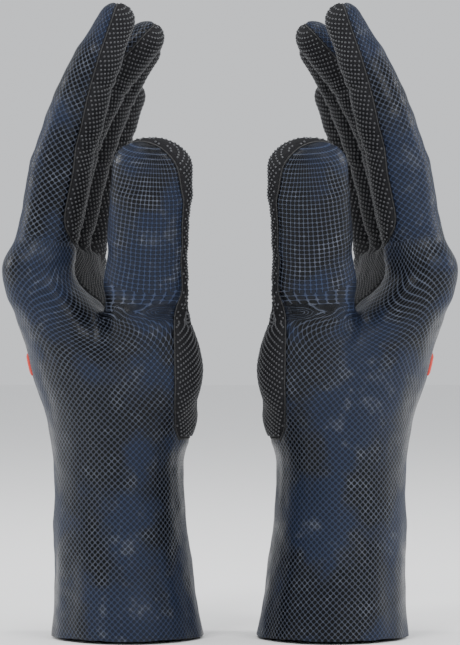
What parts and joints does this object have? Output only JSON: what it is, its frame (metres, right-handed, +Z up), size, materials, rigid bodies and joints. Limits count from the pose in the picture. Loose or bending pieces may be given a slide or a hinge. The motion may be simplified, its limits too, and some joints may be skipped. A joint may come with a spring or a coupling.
{
  "type": "sailing gloves",
  "caption": "Pair of full-finger sailing gloves with long cuffs, a grippy palm and a textured rubber skin. Wrists, fingers and thumbs bend.",
  "frame": {"origin": "middle of the pair's bounding box, on the surface the cuffs stand on", "axes": "+Z up from cuff to fingertips, +X from the left glove to the right glove, -Y the way both thumbs point"},
  "size_m": [0.1906, 0.1268, 0.2602],
  "materials": {
    "navy_skin": "satin, embossed with a fine net",
    "grip_palm": "matte with small raised grip dots",
    "badge_red": "satin"
  },
  "bodies": {
    "left_cuff": {"left_cuff": "navy_skin"},
    "left_hand": {"left_back_panel": "navy_skin", "left_palm_panel": "grip_palm", "left_badge": "badge_red", "left_web_index_middle": "grip_palm", "left_web_middle_ring": "grip_palm", "left_web_ring_little": "grip_palm"},
    "left_index_base": {"left_index_base_back": "navy_skin", "left_index_base_palm": "grip_palm"},
    "left_index_middle": {"left_index_middle_back": "navy_skin", "left_index_middle_palm": "grip_palm"},
    "left_index_tip": {"left_index_tip": "navy_skin"},
    "left_middle_base": {"left_middle_base_back": "navy_skin", "left_middle_base_palm": "grip_palm"},
    "left_middle_middle": {"left_middle_middle_back": "navy_skin", "left_middle_middle_palm": "grip_palm"},
    "left_middle_tip": {"left_middle_tip": "navy_skin"},
    "left_ring_base": {"left_ring_base_back": "navy_skin", "left_ring_base_palm": "grip_palm"},
    "left_ring_middle": {"left_ring_middle_back": "navy_skin", "left_ring_middle_palm": "grip_palm"},
    "left_ring_tip": {"left_ring_tip": "navy_skin"},
    "left_little_base": {"left_little_base_back": "navy_skin", "left_little_base_palm": "grip_palm"},
    "left_little_middle": {"left_little_middle_back": "navy_skin", "left_little_middle_palm": "grip_palm"},
    "left_little_tip": {"left_little_tip": "navy_skin"},
    "left_thumb_base": {"left_thumb_base_back": "navy_skin", "left_thumb_base_palm": "grip_palm"},
    "left_thumb_tip": {"left_thumb_tip": "navy_skin"},
    "right_cuff": {"right_cuff": "navy_skin"},
    "right_hand": {"right_back_panel": "navy_skin", "right_palm_panel": "grip_palm", "right_badge": "badge_red", "right_web_index_middle": "grip_palm", "right_web_middle_ring": "grip_palm", "right_web_ring_little": "grip_palm"},
    "right_index_base": {"right_index_base_back": "navy_skin", "right_index_base_palm": "grip_palm"},
    "right_index_middle": {"right_index_middle_back": "navy_skin", "right_index_middle_palm": "grip_palm"},
    "right_index_tip": {"right_index_tip": "navy_skin"},
    "right_middle_base": {"right_middle_base_back": "navy_skin", "right_middle_base_palm": "grip_palm"},
    "right_middle_middle": {"right_middle_middle_back": "navy_skin", "right_middle_middle_palm": "grip_palm"},
    "right_middle_tip": {"right_middle_tip": "navy_skin"},
    "right_ring_base": {"right_ring_base_back": "navy_skin", "right_ring_base_palm": "grip_palm"},
    "right_ring_middle": {"right_ring_middle_back": "navy_skin", "right_ring_middle_palm": "grip_palm"},
    "right_ring_tip": {"right_ring_tip": "navy_skin"},
    "right_little_base": {"right_little_base_back": "navy_skin", "right_little_base_palm": "grip_palm"},
    "right_little_middle": {"right_little_middle_back": "navy_skin", "right_little_middle_palm": "grip_palm"},
    "right_little_tip": {"right_little_tip": "navy_skin"},
    "right_thumb_base": {"right_thumb_base_back": "navy_skin", "right_thumb_base_palm": "grip_palm"},
    "right_thumb_tip": {"right_thumb_tip": "navy_skin"}
  },
  "joints": [
    {"name": "right_glove_slide", "type": "slide", "parent": "left_cuff", "child": "right_cuff", "axis": [1, 0, 0], "range_m": [0, 0.25]},
    {"name": "left_wrist", "type": "hinge", "parent": "left_cuff", "child": "left_hand", "pos_m": [-0.0459, 0.01131, 0.078], "axis": [0, 1, 0], "range_deg": [-25, 14], "stiffness_Nm_per_rad": 2.5},
    {"name": "left_index_knuckle", "type": "hinge", "parent": "left_hand", "child": "left_index_base", "pos_m": [-0.07008, -0.01686, 0.16414], "axis": [0, 0.9994, 0.0349], "range_deg": [-20, 50], "stiffness_Nm_per_rad": 0.4},
    {"name": "left_index_middle", "type": "hinge", "parent": "left_index_base", "child": "left_index_middle", "pos_m": [-0.06299, -0.01816, 0.20141], "axis": [0, 0.9994, 0.0349], "range_deg": [-15, 55], "stiffness_Nm_per_rad": 0.2},
    {"name": "left_index_end", "type": "hinge", "parent": "left_index_middle", "child": "left_index_tip", "pos_m": [-0.05402, -0.01907, 0.22731], "axis": [0, 0.9994, 0.0349], "range_deg": [-9, 33], "stiffness_Nm_per_rad": 0.08},
    {"name": "left_middle_knuckle", "type": "hinge", "parent": "left_hand", "child": "left_middle_base", "pos_m": [-0.07077, 0.00582, 0.16408], "axis": [0, 1, 0.0087], "range_deg": [-20, 50], "stiffness_Nm_per_rad": 0.4},
    {"name": "left_middle_middle", "type": "hinge", "parent": "left_middle_base", "child": "left_middle_middle", "pos_m": [-0.06269, 0.00548, 0.20295], "axis": [0, 1, 0.0087], "range_deg": [-15, 55], "stiffness_Nm_per_rad": 0.2},
    {"name": "left_middle_end", "type": "hinge", "parent": "left_middle_middle", "child": "left_middle_tip", "pos_m": [-0.04964, 0.00526, 0.22848], "axis": [0, 1, 0.0087], "range_deg": [-9, 33], "stiffness_Nm_per_rad": 0.08},
    {"name": "left_ring_knuckle", "type": "hinge", "parent": "left_hand", "child": "left_ring_base", "pos_m": [-0.06671, 0.02789, 0.16295], "axis": [0, 0.9998, -0.0175], "range_deg": [-20, 50], "stiffness_Nm_per_rad": 0.4},
    {"name": "left_ring_middle", "type": "hinge", "parent": "left_ring_base", "child": "left_ring_middle", "pos_m": [-0.05806, 0.02851, 0.19824], "axis": [0, 0.9998, -0.0175], "range_deg": [-15, 55], "stiffness_Nm_per_rad": 0.2},
    {"name": "left_ring_end", "type": "hinge", "parent": "left_ring_middle", "child": "left_ring_tip", "pos_m": [-0.04741, 0.02894, 0.22324], "axis": [0, 0.9998, -0.0175], "range_deg": [-9, 33], "stiffness_Nm_per_rad": 0.08},
    {"name": "left_little_knuckle", "type": "hinge", "parent": "left_hand", "child": "left_little_base", "pos_m": [-0.06064, 0.04846, 0.16011], "axis": [0, 0.9986, -0.0523], "range_deg": [-20, 50], "stiffness_Nm_per_rad": 0.4},
    {"name": "left_little_middle", "type": "hinge", "parent": "left_little_base", "child": "left_little_middle", "pos_m": [-0.05457, 0.04987, 0.18693], "axis": [0, 0.9986, -0.0523], "range_deg": [-15, 55], "stiffness_Nm_per_rad": 0.2},
    {"name": "left_little_end", "type": "hinge", "parent": "left_little_middle", "child": "left_little_tip", "pos_m": [-0.04845, 0.05092, 0.20703], "axis": [0, 0.9986, -0.0523], "range_deg": [-9, 33], "stiffness_Nm_per_rad": 0.08},
    {"name": "left_thumb_root", "type": "hinge", "parent": "left_hand", "child": "left_thumb_base", "pos_m": [-0.03397, -0.03028, 0.14787], "axis": [0.9976, 0, -0.0698], "range_deg": [-30, 15], "stiffness_Nm_per_rad": 0.5},
    {"name": "left_thumb_tip", "type": "hinge", "parent": "left_thumb_base", "child": "left_thumb_tip", "pos_m": [-0.03216, -0.04253, 0.1738], "axis": [0.9976, 0, -0.0698], "range_deg": [-45, 10], "stiffness_Nm_per_rad": 0.2},
    {"name": "right_wrist", "type": "hinge", "parent": "right_cuff", "child": "right_hand", "pos_m": [0.0459, 0.01131, 0.078], "axis": [0, -1, 0], "range_deg": [-25, 14], "stiffness_Nm_per_rad": 2.5},
    {"name": "right_index_knuckle", "type": "hinge", "parent": "right_hand", "child": "right_index_base", "pos_m": [0.07008, -0.01686, 0.16414], "axis": [0, -0.9994, -0.0349], "range_deg": [-20, 50], "stiffness_Nm_per_rad": 0.4},
    {"name": "right_index_middle", "type": "hinge", "parent": "right_index_base", "child": "right_index_middle", "pos_m": [0.06299, -0.01816, 0.20141], "axis": [0, -0.9994, -0.0349], "range_deg": [-15, 55], "stiffness_Nm_per_rad": 0.2},
    {"name": "right_index_end", "type": "hinge", "parent": "right_index_middle", "child": "right_index_tip", "pos_m": [0.05402, -0.01907, 0.22731], "axis": [0, -0.9994, -0.0349], "range_deg": [-9, 33], "stiffness_Nm_per_rad": 0.08},
    {"name": "right_middle_knuckle", "type": "hinge", "parent": "right_hand", "child": "right_middle_base", "pos_m": [0.07077, 0.00582, 0.16408], "axis": [0, -1, -0.0087], "range_deg": [-20, 50], "stiffness_Nm_per_rad": 0.4},
    {"name": "right_middle_middle", "type": "hinge", "parent": "right_middle_base", "child": "right_middle_middle", "pos_m": [0.06269, 0.00548, 0.20295], "axis": [0, -1, -0.0087], "range_deg": [-15, 55], "stiffness_Nm_per_rad": 0.2},
    {"name": "right_middle_end", "type": "hinge", "parent": "right_middle_middle", "child": "right_middle_tip", "pos_m": [0.04964, 0.00526, 0.22848], "axis": [0, -1, -0.0087], "range_deg": [-9, 33], "stiffness_Nm_per_rad": 0.08},
    {"name": "right_ring_knuckle", "type": "hinge", "parent": "right_hand", "child": "right_ring_base", "pos_m": [0.06671, 0.02789, 0.16295], "axis": [0, -0.9998, 0.0175], "range_deg": [-20, 50], "stiffness_Nm_per_rad": 0.4},
    {"name": "right_ring_middle", "type": "hinge", "parent": "right_ring_base", "child": "right_ring_middle", "pos_m": [0.05806, 0.02851, 0.19824], "axis": [0, -0.9998, 0.0175], "range_deg": [-15, 55], "stiffness_Nm_per_rad": 0.2},
    {"name": "right_ring_end", "type": "hinge", "parent": "right_ring_middle", "child": "right_ring_tip", "pos_m": [0.04741, 0.02894, 0.22324], "axis": [0, -0.9998, 0.0175], "range_deg": [-9, 33], "stiffness_Nm_per_rad": 0.08},
    {"name": "right_little_knuckle", "type": "hinge", "parent": "right_hand", "child": "right_little_base", "pos_m": [0.06064, 0.04846, 0.16011], "axis": [0, -0.9986, 0.0523], "range_deg": [-20, 50], "stiffness_Nm_per_rad": 0.4},
    {"name": "right_little_middle", "type": "hinge", "parent": "right_little_base", "child": "right_little_middle", "pos_m": [0.05457, 0.04987, 0.18693], "axis": [0, -0.9986, 0.0523], "range_deg": [-15, 55], "stiffness_Nm_per_rad": 0.2},
    {"name": "right_little_end", "type": "hinge", "parent": "right_little_middle", "child": "right_little_tip", "pos_m": [0.04845, 0.05092, 0.20703], "axis": [0, -0.9986, 0.0523], "range_deg": [-9, 33], "stiffness_Nm_per_rad": 0.08},
    {"name": "right_thumb_root", "type": "hinge", "parent": "right_hand", "child": "right_thumb_base", "pos_m": [0.03397, -0.03028, 0.14787], "axis": [0.9976, 0, 0.0698], "range_deg": [-30, 15], "stiffness_Nm_per_rad": 0.5},
    {"name": "right_thumb_tip", "type": "hinge", "parent": "right_thumb_base", "child": "right_thumb_tip", "pos_m": [0.03216, -0.04253, 0.1738], "axis": [0.9976, 0, 0.0698], "range_deg": [-45, 10], "stiffness_Nm_per_rad": 0.2}
  ],
  "couplings": [
    {"joint": "left_index_end", "follows": "left_index_middle", "ratio": 0.6},
    {"joint": "left_middle_end", "follows": "left_middle_middle", "ratio": 0.6},
    {"joint": "left_ring_end", "follows": "left_ring_middle", "ratio": 0.6},
    {"joint": "left_little_end", "follows": "left_little_middle", "ratio": 0.6},
    {"joint": "right_index_end", "follows": "right_index_middle", "ratio": 0.6},
    {"joint": "right_middle_end", "follows": "right_middle_middle", "ratio": 0.6},
    {"joint": "right_ring_end", "follows": "right_ring_middle", "ratio": 0.6},
    {"joint": "right_little_end", "follows": "right_little_middle", "ratio": 0.6}
  ]
}
